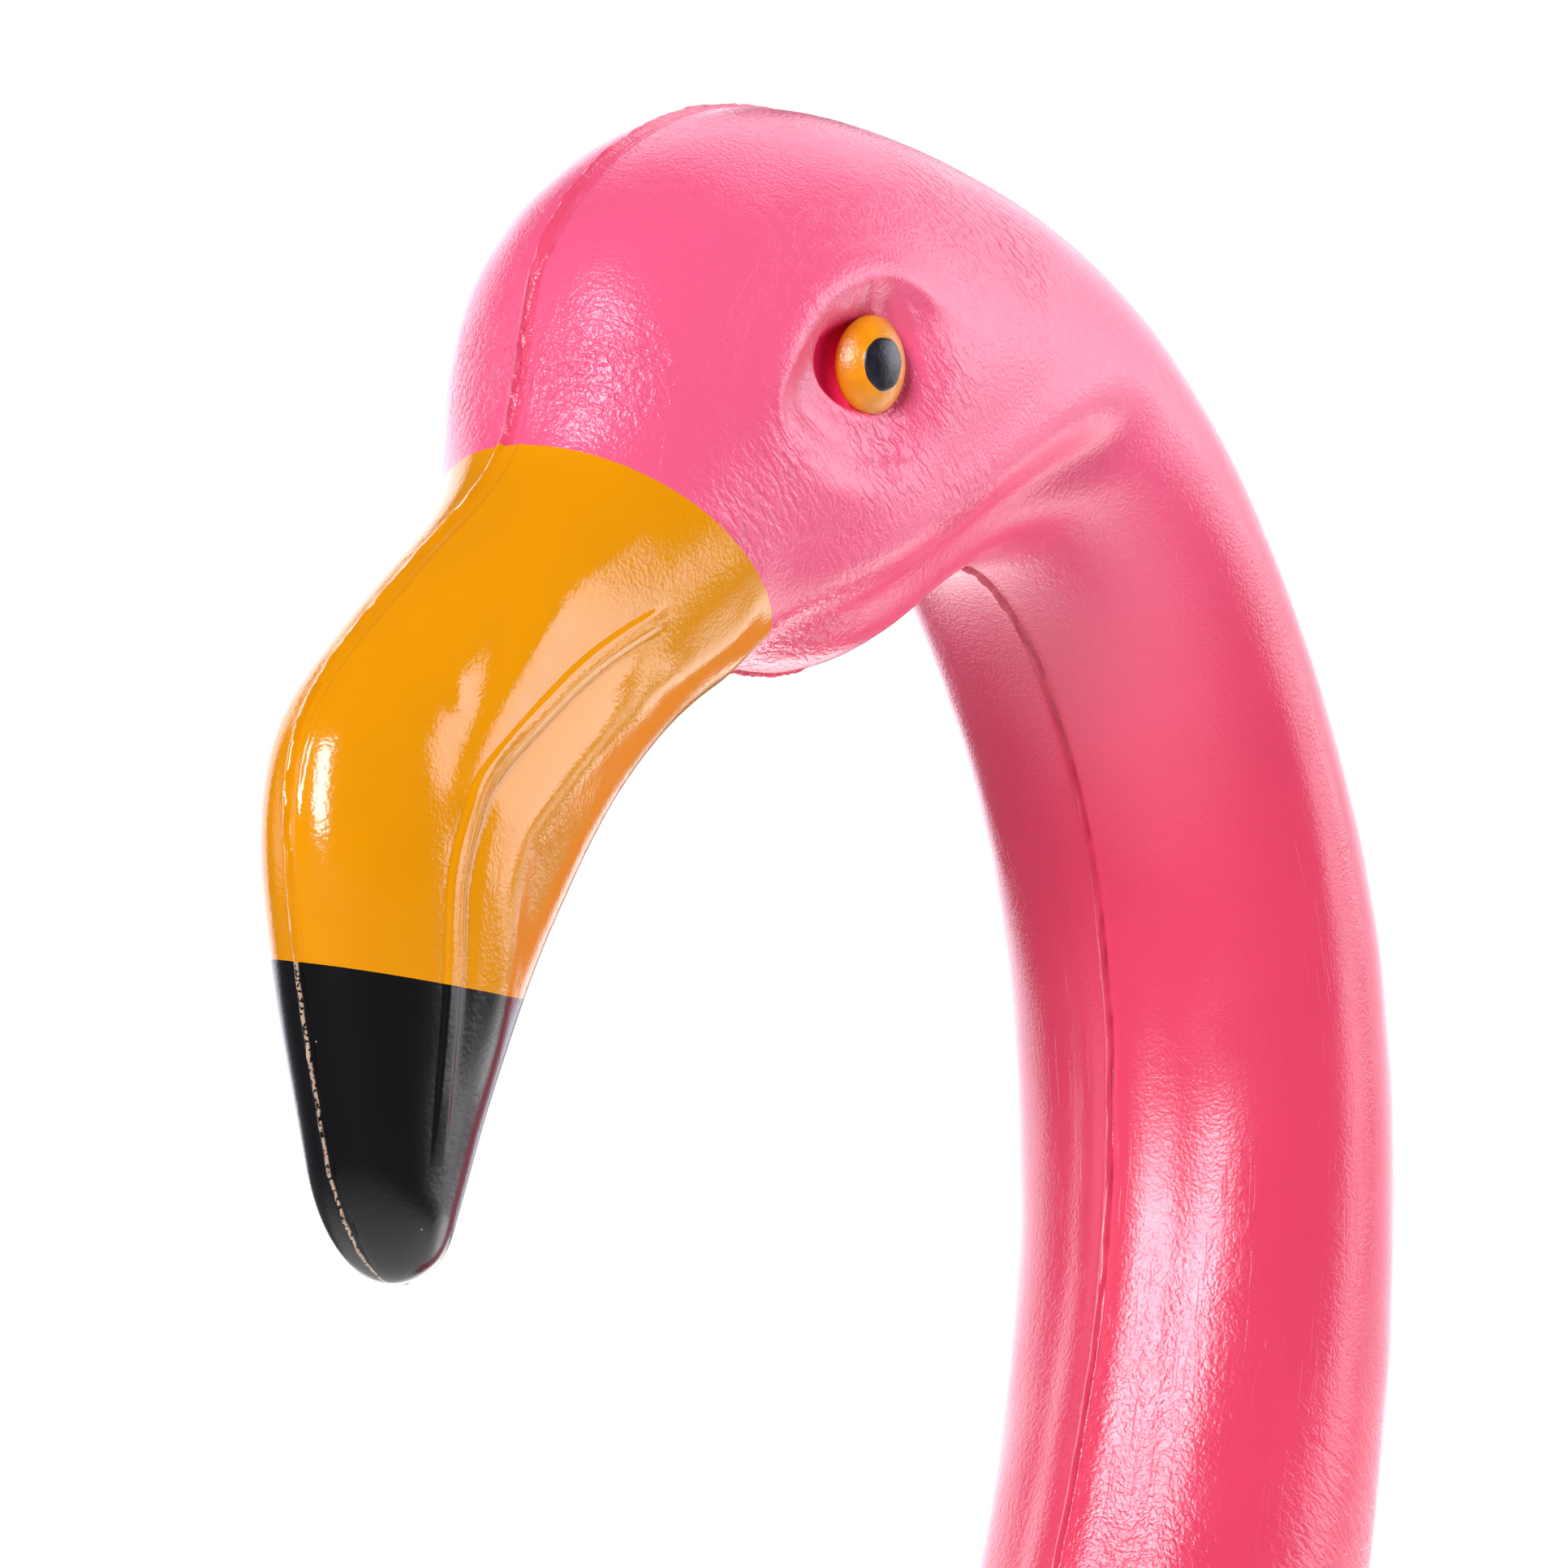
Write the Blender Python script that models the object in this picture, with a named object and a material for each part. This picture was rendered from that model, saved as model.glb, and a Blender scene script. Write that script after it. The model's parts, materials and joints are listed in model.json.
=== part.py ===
"""Head and neck of a pink plastic flamingo lawn ornament, cut flat below.

The real thing is one blow-moulded shell with a parting seam in its middle plane,
so it is one solid here. It faces -Y, its left side is +X, and it stands on its
flat cut at z = 0, with the origin at the centre of that cut.
"""

from math import asin, cos, pi, radians, sin, sqrt

import bmesh
import bpy
import numpy as np
from mathutils import Vector
from mathutils.bvhtree import BVHTree

# The driving sizes, in metres.
BUST_HEIGHT = 0.240
SEAM_WIDTH = 0.0014
SEAM_HEIGHT = 0.0005
EYE_DIAMETER = 0.0110
EYE_BULGE = 0.0034
SOCKET_GAP = 0.0008
SOCKET_DEPTH = 0.0013
MOUTH_LIP_WIDTH = 0.0022
MOUTH_LIP_HEIGHT = 0.0005

# The form is free, so its proportions are thousandths of the bust's height.
# A section runs from the line along the top, through bill ridge, crown and nape,
# to the line underneath, through bill, chin and throat.
# Each row: forward and height on the top line, forward and height on the under
# line, half width.
SECTIONS = (
    (512, 452, 466, 436, 26),  # bill tip
    (529, 499, 454, 463, 30),
    (547, 570, 431, 519, 39),
    (558, 635, 407, 569, 47),  # bend of the bill
    (548, 690, 380, 613, 51),
    (507, 735, 351, 653, 54),
    (452, 779, 318, 688, 60),
    (404, 828, 281, 715, 72),  # root of the bill
    (385, 898, 236, 730, 87),
    (339, 958, 185, 737, 100),
    (247, 998, 136, 757, 102),  # crown and chin
    (122, 995, 88, 785, 100),
    (-10, 950, 43, 799, 98),  # nape and throat
    (-118, 854, 0, 780, 98),
    (-195, 735, -40, 732, 99),
    (-242, 615, -72, 661, 100),
    (-256, 502, -86, 574, 100),
    (-252, 397, -84, 479, 99),
    (-237, 299, -62, 381, 98),
    (-214, 207, -28, 283, 98),
    (-174, 95, 12, 178, 100),
    (-112, -20, 60, 88, 101),
    (-57, -100, 104, 25, 102),  # below the cut
    (-2, -160, 150, -35, 103),
)
RINGS_PER_SPAN = (5, 3, 3, 3, 3, 3, 3, 4, 5, 5, 6, 6, 5, 4, 4, 3, 3, 3, 3, 3, 3, 2, 2)
COLUMNS_PER_SIDE = 20
FIRST_RING = 0.02

# Carving on the head, as forward and height seen from the side, in thousandths.
HEAD_REAR = (-60, 40)  # the carving fades in between these, from the nape forward
HEAD_UNDERSIDE = (690, 720)  # and between these, upward
ORBIT_CENTRE = (246, 852)
ORBIT_REACH = (58, 76, 58, 40)  # to the front, rear, top and bottom
ORBIT_DEPTH = 12
BROW_HEIGHT = 3.5
BROW_WIDTH = 0.14  # as a share of the orbit's reach
EYE_CENTRE = (236, 871)
TEAR_CORNER = 12  # how much further the socket reaches to the front
HOLLOW_BEHIND_EYE = (203, 888)
HOLLOW_DEPTH = 3
HOLLOW_WIDTH = 17
JAW_LINE = ((20, 880), (89, 843), (144, 808), (204, 776), (249, 755), (290, 742))
JAW_FULLNESS = 4
JAW_FULLEST = 18  # above the line
JAW_VALLEY = 7
JAW_DEEPEST = 16  # below the line
JAW_WIDTH = 15
MOUTH_LINE = (
    (365, 753),
    (407, 730),
    (438, 708),
    (479, 674),
    (493, 652),
    (501, 623),
    (500, 591),
    (499, 560),
)


def smooth_through(rows):
    """A function that runs a natural cubic spline through the rows."""
    rows = np.array(rows, float)
    count = len(rows)
    system = np.eye(count)
    pull = np.zeros_like(rows)
    for i in range(1, count - 1):
        system[i, i - 1 : i + 2] = (1, 4, 1)
        pull[i] = 6 * (rows[i + 1] - 2 * rows[i] + rows[i - 1])
    bend = np.linalg.solve(system, pull)

    def at(place):
        i = min(int(place), count - 2)
        t = place - i
        s = 1 - t
        row = s * rows[i] + t * rows[i + 1]
        row += ((s**3 - s) * bend[i] + (t**3 - t) * bend[i + 1]) / 6
        return row.tolist()

    return at


section_at = smooth_through(SECTIONS)


def share(thousandths):
    """A length in metres from thousandths of the bust's height."""
    return thousandths / 1000 * BUST_HEIGHT


def closing(place):
    """How far a section has opened behind the rounded end of the bill."""
    return sqrt(1 - (1 - place) ** 2) if place < 1 else 1.0


def section_point(place, angle):
    """The point of the plain form at a place along it, at an angle from the top line."""
    top_f, top_z, under_f, under_z, half_width = section_at(place)
    middle = Vector((0, -(top_f + under_f) / 2, (top_z + under_z) / 2))
    half_chord = Vector((0, -(top_f - under_f) / 2, (top_z - under_z) / 2))
    sideways = Vector((half_width, 0, 0))
    point = middle + closing(place) * (cos(angle) * half_chord + sin(angle) * sideways)
    return point * share(1)


def ring_angles(place):
    """Angles round a section, with a narrow pair of columns at each seam."""
    half_width = share(section_at(place)[-1]) * closing(place)
    seam = asin(min(0.4, SEAM_WIDTH / 2 / half_width))
    steps = COLUMNS_PER_SIDE - 1
    left = [seam + (pi - 2 * seam) * i / steps for i in range(COLUMNS_PER_SIDE)]
    right = [2 * pi - angle for angle in reversed(left)]
    return [0.0] + left + [pi] + right


def ring_places():
    """Places along the form, one for each ring."""
    places = []
    for span, rings in enumerate(RINGS_PER_SPAN):
        places += [span + i / rings for i in range(rings)]
    places[0] = FIRST_RING
    return places + [len(RINGS_PER_SPAN)]


def lofted_form():
    """The plain form as rings bridged one to the next, open at its lower end."""
    bm = bmesh.new()
    previous = None
    for place in ring_places():
        angles = ring_angles(place)
        ring = bmesh.ops.create_circle(bm, segments=len(angles), radius=1)["verts"]
        for vertex, angle in zip(ring, angles):
            vertex.co = section_point(place, angle)
        members = set(ring)
        edges = {e for v in ring for e in v.link_edges if e.other_vert(v) in members}
        if previous:
            bmesh.ops.bridge_loops(bm, edges=list(edges | previous))
        else:
            bmesh.ops.contextual_create(bm, geom=ring)
        previous = edges
    bmesh.ops.recalc_face_normals(bm, faces=bm.faces[:])
    return bm


def side_view(points):
    """Forward and height of points, in thousandths of the bust's height."""
    points = np.asarray(points)
    return -points[..., 1] / share(1), points[..., 2] / share(1)


def ramp(start, end, value):
    """A smooth step from 0 at start to 1 at end."""
    t = np.clip((value - start) / (end - start), 0, 1)
    return t * t * (3 - 2 * t)


def hill(distance, width):
    """A rounded hill of height 1 over a distance from its middle."""
    return np.exp(-((distance / width) ** 2))


def from_line(line, forward, height):
    """Distance above a line of points, and the share of its length reached."""
    line = np.array(line, float)
    steps = np.diff(line, axis=0)
    lengths = np.hypot(steps[:, 0], steps[:, 1])
    starts = np.concatenate([[0], np.cumsum(lengths)])
    best = np.full(np.shape(forward), np.inf)
    signed = np.zeros(np.shape(forward))
    reached = np.zeros(np.shape(forward))
    for start, step, length, before in zip(line, steps, lengths, starts):
        off_f = forward - start[0]
        off_z = height - start[1]
        t = np.clip((off_f * step[0] + off_z * step[1]) / length**2, 0, 1)
        gap = np.hypot(off_f - t * step[0], off_z - t * step[1])
        side = np.where(step[0] * off_z - step[1] * off_f > 0, 1.0, -1.0)
        nearer = gap < best
        best = np.where(nearer, gap, best)
        signed = np.where(nearer, side * gap, signed)
        reached = np.where(nearer, (before + t * length) / starts[-1], reached)
    return signed, reached


def orbit(forward, height):
    """The bowl round the eye with its raised brow."""
    off_f = forward - ORBIT_CENTRE[0]
    off_z = height - ORBIT_CENTRE[1]
    front, rear, top, bottom = ORBIT_REACH
    across = off_f / np.where(off_f > 0, front, rear)
    upward = off_z / np.where(off_z > 0, top, bottom)
    reach = np.hypot(across, upward)
    around = np.degrees(np.arctan2(off_z, off_f))
    brow = ramp(-70, -25, around) * (1 - ramp(115, 150, around))
    bowl = -ORBIT_DEPTH * (1 - ramp(0.35, 1.0, reach))
    return bowl + BROW_HEIGHT * brow * hill(reach - 1.05, BROW_WIDTH)


def socket(forward, height):
    """The steep-sided hollow that the eye stands in, with its corner to the front."""
    across = EYE_DIAMETER / 2 + SOCKET_GAP
    off_f = (forward - EYE_CENTRE[0]) * share(1)
    off_z = (height - EYE_CENTRE[1]) * share(1)
    longways = np.where(off_f > 0, across + share(TEAR_CORNER), across)
    reach = np.hypot(off_f / longways, off_z / across)
    return -SOCKET_DEPTH / share(1) * (1 - ramp(0.8, 1.05, reach))


def jaw(forward, height):
    """The full jaw edge and the valley under it, which leaves the chin as a roll."""
    above, reached = from_line(JAW_LINE, forward, height)
    fade = ramp(0.0, 0.45, reached) * (1 - ramp(0.85, 1.0, reached))
    fullness = JAW_FULLNESS * hill(above - JAW_FULLEST, JAW_WIDTH)
    return fade * (fullness - JAW_VALLEY * hill(above + JAW_DEEPEST, JAW_WIDTH))


def seam(points):
    """The raised parting line in the middle plane."""
    on_middle = np.abs(points[..., 0]) < SEAM_WIDTH / 8
    return SEAM_HEIGHT / share(1) * on_middle


def relief(points):
    """How far the carving stands out of the plain form, in metres."""
    forward, height = side_view(points)
    on_head = ramp(*HEAD_REAR, forward) * ramp(*HEAD_UNDERSIDE, height)
    carving = orbit(forward, height) + socket(forward, height) + jaw(forward, height)
    behind_eye = np.hypot(forward - HOLLOW_BEHIND_EYE[0], height - HOLLOW_BEHIND_EYE[1])
    carving = carving - HOLLOW_DEPTH * hill(behind_eye, HOLLOW_WIDTH)
    return share(1) * (on_head * carving + seam(points))


def refine_orbits(bm):
    """Splits the faces round each eye, so that its socket comes out crisp."""
    reach = share(max(ORBIT_REACH[0], ORBIT_REACH[2]))
    middle = Vector((-share(ORBIT_CENTRE[0]), share(ORBIT_CENTRE[1])))
    near = [
        edge
        for edge in bm.edges
        if all((v.co.yz - middle).length < reach for v in edge.verts)
        and all(abs(v.co.x) > reach for v in edge.verts)
    ]
    bmesh.ops.subdivide_edges(bm, edges=near, cuts=1, use_grid_fill=True)


def carve(bm):
    """Moves every point along its normal by the relief."""
    refine_orbits(bm)
    bm.normal_update()
    lifts = relief(np.array([v.co for v in bm.verts]))
    for vertex, lift in zip(bm.verts, lifts.tolist()):
        vertex.co += lift * vertex.normal


def cut_flat(bm):
    """Takes off what lies below the cut and closes it with a flat face."""
    everything = bm.verts[:] + bm.edges[:] + bm.faces[:]
    cut = bmesh.ops.bisect_plane(
        bm, geom=everything, plane_co=(0, 0, 0), plane_no=(0, 0, -1), clear_outer=True
    )
    rim = [g for g in cut["geom_cut"] if isinstance(g, bmesh.types.BMEdge)]
    bmesh.ops.contextual_create(bm, geom=rim)


def surface_at(tree, forward, height, side):
    """The point of the skin beside a place in the side view, and its normal."""
    start = Vector((side * share(200), -share(forward), share(height)))
    hit, normal, _, _ = tree.ray_cast(start, Vector((-side, 0, 0)))
    return hit, normal


def eye(tree, side):
    """A dome cap that stands in its socket."""
    floor, _ = surface_at(tree, *EYE_CENTRE, side)
    radius = ((EYE_DIAMETER / 2) ** 2 + EYE_BULGE**2) / (2 * EYE_BULGE)
    bm = bmesh.new()
    bmesh.ops.create_uvsphere(bm, u_segments=20, v_segments=14, radius=radius)
    centre = Vector((floor.x + side * (EYE_BULGE - radius), floor.y, floor.z))
    bmesh.ops.translate(bm, verts=bm.verts[:], vec=centre)
    return tool_object(f"eye_{'left' if side > 0 else 'right'}", bm)


def mouth_lip(tree, side):
    """A bead laid along the mouth line, sunk until its lip height is left."""
    radius = (MOUTH_LIP_WIDTH**2 / 4 + MOUTH_LIP_HEIGHT**2) / (2 * MOUTH_LIP_HEIGHT)
    line = smooth_through(MOUTH_LINE)
    last = len(MOUTH_LINE) - 1
    places = np.linspace(0, last, 3 * last + 1).tolist()
    bm = bmesh.new()
    previous = None
    for place in places:
        ahead = line(min(place + 0.05, last))
        behind = line(max(place - 0.05, 0))
        hit, normal = surface_at(tree, *line(place), side)
        along = Vector((0, behind[0] - ahead[0], ahead[1] - behind[1])).normalized()
        across = along.cross(normal).normalized()
        centre = hit - normal * (radius - MOUTH_LIP_HEIGHT)
        ring = bmesh.ops.create_circle(bm, segments=12, radius=radius)["verts"]
        for i, vertex in enumerate(ring):
            turn = 2 * pi * i / len(ring)
            vertex.co = centre + radius * (cos(turn) * normal + sin(turn) * across)
        members = set(ring)
        edges = {e for v in ring for e in v.link_edges if e.other_vert(v) in members}
        if previous:
            bmesh.ops.bridge_loops(bm, edges=list(edges | previous))
        if place in (places[0], places[-1]):
            bmesh.ops.contextual_create(bm, geom=ring)
        previous = edges
    bmesh.ops.recalc_face_normals(bm, faces=bm.faces[:])
    return tool_object(f"mouth_lip_{'left' if side > 0 else 'right'}", bm)


def tool_object(name, bm):
    """A hidden shape that is joined to the bust."""
    mesh = bpy.data.meshes.new(name)
    bm.to_mesh(mesh)
    bm.free()
    tool = bpy.data.objects.new(name, mesh)
    bpy.context.scene.collection.objects.link(tool)
    tool.hide_render = True
    tool.display_type = "WIRE"
    return tool


def plastic(name, colour, roughness):
    material = bpy.data.materials.new(name)
    material.use_nodes = True
    shader = material.node_tree.nodes["Principled BSDF"]
    shader.inputs["Base Color"].default_value = (*colour, 1)
    shader.inputs["Roughness"].default_value = roughness
    shader.inputs["Metallic"].default_value = 0
    return material


def flamingo():
    """The whole moulding, with its eyes and mouth lips joined to it."""
    bm = lofted_form()
    carve(bm)
    cut_flat(bm)
    tree = BVHTree.FromBMesh(bm)
    mesh = bpy.data.meshes.new("flamingo_bust")
    bm.to_mesh(mesh)
    bm.free()
    mesh.shade_smooth()
    mesh.set_sharp_from_angle(angle=radians(45))
    mesh.materials.append(plastic("pink_plastic", (0.87, 0.12, 0.24), 0.4))
    bust = bpy.data.objects.new("flamingo_bust", mesh)
    bpy.context.scene.collection.objects.link(bust)
    for side in (1, -1):
        for added in (eye(tree, side), mouth_lip(tree, side)):
            union = bust.modifiers.new(added.name, "BOOLEAN")
            union.operation = "UNION"
            union.object = added
            union.solver = "EXACT"
    return bust


def main():
    for thing in list(bpy.data.objects):
        bpy.data.objects.remove(thing, do_unlink=True)
    flamingo()


main()
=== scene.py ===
"""Looks of the flamingo bust: its moulded pink skin, painted bill and painted eyes.

The skin is one fine mesh wrapped on the same sections as the solid, with the paint
borders, the parting seam, the lip of the mouth and the carving of the head in it.
"""

import json
from math import atan2, cos, hypot, pi, radians, sin

import bmesh
import bpy
import numpy as np
from mathutils import Matrix, Vector, noise
from mathutils.bvhtree import BVHTree

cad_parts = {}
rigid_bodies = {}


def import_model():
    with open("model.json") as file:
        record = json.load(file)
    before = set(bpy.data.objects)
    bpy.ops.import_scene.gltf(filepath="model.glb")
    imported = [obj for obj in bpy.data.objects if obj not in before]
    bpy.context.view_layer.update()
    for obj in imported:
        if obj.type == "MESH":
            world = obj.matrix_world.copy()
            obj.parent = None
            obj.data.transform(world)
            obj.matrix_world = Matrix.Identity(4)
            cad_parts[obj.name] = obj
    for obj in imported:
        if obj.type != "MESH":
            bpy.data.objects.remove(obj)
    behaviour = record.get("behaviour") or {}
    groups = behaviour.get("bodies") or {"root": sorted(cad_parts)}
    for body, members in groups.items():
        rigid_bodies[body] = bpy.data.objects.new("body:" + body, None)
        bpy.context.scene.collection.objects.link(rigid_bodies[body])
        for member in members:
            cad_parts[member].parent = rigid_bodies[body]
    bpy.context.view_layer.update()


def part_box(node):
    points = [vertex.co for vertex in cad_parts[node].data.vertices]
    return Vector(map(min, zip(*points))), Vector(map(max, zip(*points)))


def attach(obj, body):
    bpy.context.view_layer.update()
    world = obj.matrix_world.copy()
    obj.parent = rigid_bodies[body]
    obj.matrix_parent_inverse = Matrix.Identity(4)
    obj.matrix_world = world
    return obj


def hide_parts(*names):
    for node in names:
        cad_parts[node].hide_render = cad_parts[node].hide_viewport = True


bl_info = {
    "name": "Flamingo Bust",
    "version": (1, 0, 0),
    "blender": (4, 5, 0),
    "location": "3D Viewport > Sidebar > Flamingo",
    "description": "Skin, eyes, paint and studio for the moulded flamingo bust",
    "category": "Object",
}

for thing in list(bpy.data.objects):
    bpy.data.objects.remove(thing, do_unlink=True)
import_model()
CAD_LOW, CAD_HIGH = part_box("flamingo_bust")
MM = 0.001
SOLID_SEAM = 0.5 * MM  # how far the solid's seam stands out of its crown

# The sections of the form, in thousandths of its height, as the solid has them: from
# the top line, through bill ridge, crown and nape, to the line underneath.
# Each row: forward and height on top, forward and height underneath, half width.
SECTIONS = (
    (512, 452, 466, 436, 26),  # bill tip
    (529, 499, 454, 463, 30),
    (547, 570, 431, 519, 39),
    (558, 635, 407, 569, 47),  # bend of the bill
    (548, 690, 380, 613, 51),
    (507, 735, 351, 653, 54),
    (452, 779, 318, 688, 60),
    (404, 828, 281, 715, 72),  # root of the bill
    (385, 898, 236, 730, 87),
    (339, 958, 185, 737, 100),
    (247, 998, 136, 757, 102),  # crown and chin
    (122, 995, 88, 785, 100),
    (-10, 950, 43, 799, 98),  # nape and throat
    (-118, 854, 0, 780, 98),
    (-195, 735, -40, 732, 99),
    (-242, 615, -72, 661, 100),
    (-256, 502, -86, 574, 100),
    (-252, 397, -84, 479, 99),
    (-237, 299, -62, 381, 98),
    (-214, 207, -28, 283, 98),
    (-174, 95, 12, 178, 100),
    (-112, -20, 60, 88, 101),
    (-57, -100, 104, 25, 102),  # below the cut
    (-2, -160, 150, -35, 103),
)

# How the skin's grid is laid: rows along the form and columns round it. A place is a
# row of SECTIONS, counted from the bill's tip, with the parts between two rows.
TIP_ROWS = 54
BILL_ROWS = 90
NECK_ROWS_PER_PLACE = ((7.2, 10.6, 38), (10.6, 13.0, 20), (13.0, 21.6, 11))  # from, to, rows
EVENING_OUT = 2.4  # places over which the rows forget the slant of the orange's end
LEVELLING = 4.0  # places over which they take on the slant of the cut
SIDE_COLUMNS = 110
SEAM_COLUMNS = 12
SEAM_ZONE = 2.6 * MM
MOUTH_SPACING = 0.38  # of the even spacing, where the columns crowd by the mouth

# Where the paints and the form end: height on the axis, rise per forward, rise per left,
# how much the edge wobbles, and the two places that it lies between.
BLACK_ENDS = (544.7, 0.070, -0.129, 0.35, 1.4, 3.8)
ORANGE_ENDS = (568.8, 0.627, 0.077, 0.6, 5.2, 9.2)
CUT_ENDS = (0, 0, 0, 0, 19.0, 23.0)
WOBBLE_PITCH = 21

# Carving on the head, as forward and height seen from the side, in thousandths.
ORBIT_CENTRE = (246, 852)
ORBIT_REACH = (100, 58, 100, 48)  # to the front, rear, top and bottom
BROW_LINE = (
    (300, 812), (311, 828), (317, 845), (309, 866), (295, 885), (278, 899),
    (260, 908), (242, 912), (222, 910), (203, 904), (189, 896), (178, 886),
)
SOCKET_CENTRE = (236, 871)
SOCKET_RADIUS = 0.0063  # in metres
SOCKET_SQUARENESS = 2.3  # 2 makes the socket a plain oval
TEAR_CORNER = 23  # how much further the socket reaches to the front
EYE_CENTRE = (235.5, 872)
HOLLOW_BEHIND_EYE = (203, 886)
HOLLOW_REACH = 17
HOLLOW_DEPTH = 2.0
BRUSHED_PLACE = (384, 858)  # brush strokes at the root of the bill
BRUSHED_REACH = 26
JAW_LINE = ((20, 880), (89, 843), (144, 808), (204, 776), (249, 755), (290, 742))
MOUTH_LINE = (
    (365, 753), (407, 730), (438, 708), (479, 674), (493, 652),
    (501, 623), (500, 591), (497, 540), (495, 490),
)

# Fine raised and sunk lines on the head and bill: height and width in mm, then points.
FINE_LINES = (
    (0.40, 0.50, ((268, 893), (262, 900), (254, 906))),  # folds under the brow
    (0.55, 0.50, ((250, 908), (244, 902), (240, 895))),
    (-0.40, 0.55, ((258, 901), (252, 898), (246, 896))),
    (-0.35, 0.60, ((238, 904), (232, 900), (227, 894))),
    (0.30, 0.60, ((232, 906), (224, 900), (215, 894))),
    (0.36, 0.55, ((306, 826), (315, 845), (309, 864), (294, 884), (278, 897))),  # brow rim
    (0.36, 0.55, ((288, 890), (262, 906), (242, 910), (222, 908), (196, 898))),
    (-0.10, 0.22, ((165, 842), (156, 835), (139, 823), (105, 814))),  # hair on the cheek
    (0.10, 0.45, ((313, 944), (333, 931), (348, 918), (358, 902), (364, 887))),  # creases
    (0.07, 0.35, ((362, 868), (364, 853), (364, 838))),
    (0.12, 2.60, ((374, 783), (417, 754), (445, 729), (460, 703))),  # shoulder
    (0.38, 2.20, ((420, 752), (445, 725), (470, 690), (488, 664), (497, 636))),
    (-0.28, 2.20, ((432, 764), (460, 733), (480, 702), (495, 676), (505, 648))),
    (0.20, 0.90, ((494, 716), (490, 704), (494, 692))),
    (0.30, 2.20, ((308, 766), (309, 742), (347, 720), (377, 712))),  # lower jaw
)

# Patches of creased leather, seen from the side: forward, height, reach, strength.
LEATHER_PATCHES = (
    (165, 952, 34, 1.0),
    (120, 940, 30, 1.3),
    (192, 868, 22, 0.8),
    (235, 830, 26, 1.0),
    (304, 816, 22, 0.8),
    (322, 790, 22, 1.0),
    (168, 806, 26, 1.0),
    (235, 745, 34, 0.8),
    (288, 888, 16, 0.5),
    (386, 858, 26, 0.7),
    (-75, 400, 90, 0.1),
    (-70, 300, 80, 0.15),
    (-150, 330, 60, 0.25),
)

# Places where forms begin: nothing up to the first, all of it from the second on.
HEAD_SEAM_BEGINS = (7.9, 8.4)
SECOND_SEAM_BEGINS = (2.9, 3.6)
SECOND_SEAM_ENDS = (7.8, 8.3)
NECK_FLATS_BEGIN = (14.2, 16.5)

# How far the second line on the bill lies from the seam, in mm, at places along it.
SECOND_SEAM_PLACES = (3.1, 3.8, 4.2, 6.9, 7.3, 7.9)
SECOND_SEAM_OFFSETS = (1.2, 1.6, 2.0, 2.4, 2.4, 3.2)
HEAD_BAND_WIDTH = 1.25  # how much further out the groove lies on the head, in mm

# The slow unevenness of the moulding: its height in metres and bumps per metre.
UNEVEN_HEIGHT = 0.00012
UNEVEN_SCALE = 90

EYE_SEGMENTS = 72
SHARP_ANGLE = 50
MARKS = ("from_seam", "socket", "leather", "strokes", "seam_shade_and_dirt")
PINK, ORANGE, BLACK, CUT = range(4)  # the skin's materials

# The camera that matches the photograph, and the studio round it.
CAMERA_TARGET = (0.0, -0.045, 0.164)
CAMERA_AZIMUTH = 36.0
CAMERA_ELEVATION = -4.34
CAMERA_DISTANCE = 1.0
CAMERA_LENS = 202.55
# Each light: name, azimuth, elevation, roll, distance, width, height, brightness.
LIGHTS = (
    ("front_window", 18, 20, 0, 1.6, 0.46, 0.98, 22.0),
    ("side_softbox", 131, 16, 22, 1.6, 1.22, 1.05, 4.4),
    ("left_panel", -116, 9, 0, 1.6, 1.60, 1.50, 2.4),
    ("left_fill", -45, 4, 0, 1.6, 1.30, 1.20, 1.2),
    ("backdrop", 178, 15, 0, 1.7, 1.90, 1.50, 1.8),
    ("rear_overhead", -165, 56, 0, 1.6, 1.40, 0.80, 2.3),
)
LAMP_COLOUR = (1.0, 0.95, 1.07)
# Bright parts of the white table, which only the object sees: shift, factors, brightness.
TABLE_PATCHES = (
    ((0.10, -0.52, 0.0), (2.4, 2.1, 1.0), 2.8),
    ((-0.85, -0.95, 0.0), (2.2, 2.2, 1.0), 3.2),
)


def smooth_through(rows):
    """A function that runs a natural cubic spline through the rows."""
    rows = np.array(rows, float)
    count = len(rows)
    system = np.eye(count)
    pull = np.zeros_like(rows)
    for i in range(1, count - 1):
        system[i, i - 1 : i + 2] = (1, 4, 1)
        pull[i] = 6 * (rows[i + 1] - 2 * rows[i] + rows[i - 1])
    bend = np.linalg.solve(system, pull)

    def at(places):
        i = np.clip(np.floor(places).astype(int), 0, count - 2)
        t = (places - i)[..., None]
        s = 1 - t
        straight = s * rows[i] + t * rows[i + 1]
        return straight + ((s**3 - s) * bend[i] + (t**3 - t) * bend[i + 1]) / 6

    return at


section_at = smooth_through(SECTIONS)
CROWN_SHARE = section_at(np.linspace(9, 12, 301))[:, 1].max() / 1000


def length_property(name, description, default):
    return bpy.props.FloatProperty(
        name=name, description=description, default=default, unit="LENGTH"
    )


def colour_property(name, description, default):
    return bpy.props.FloatVectorProperty(
        name=name, description=description, default=default, subtype="COLOR", min=0, max=1
    )


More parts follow.
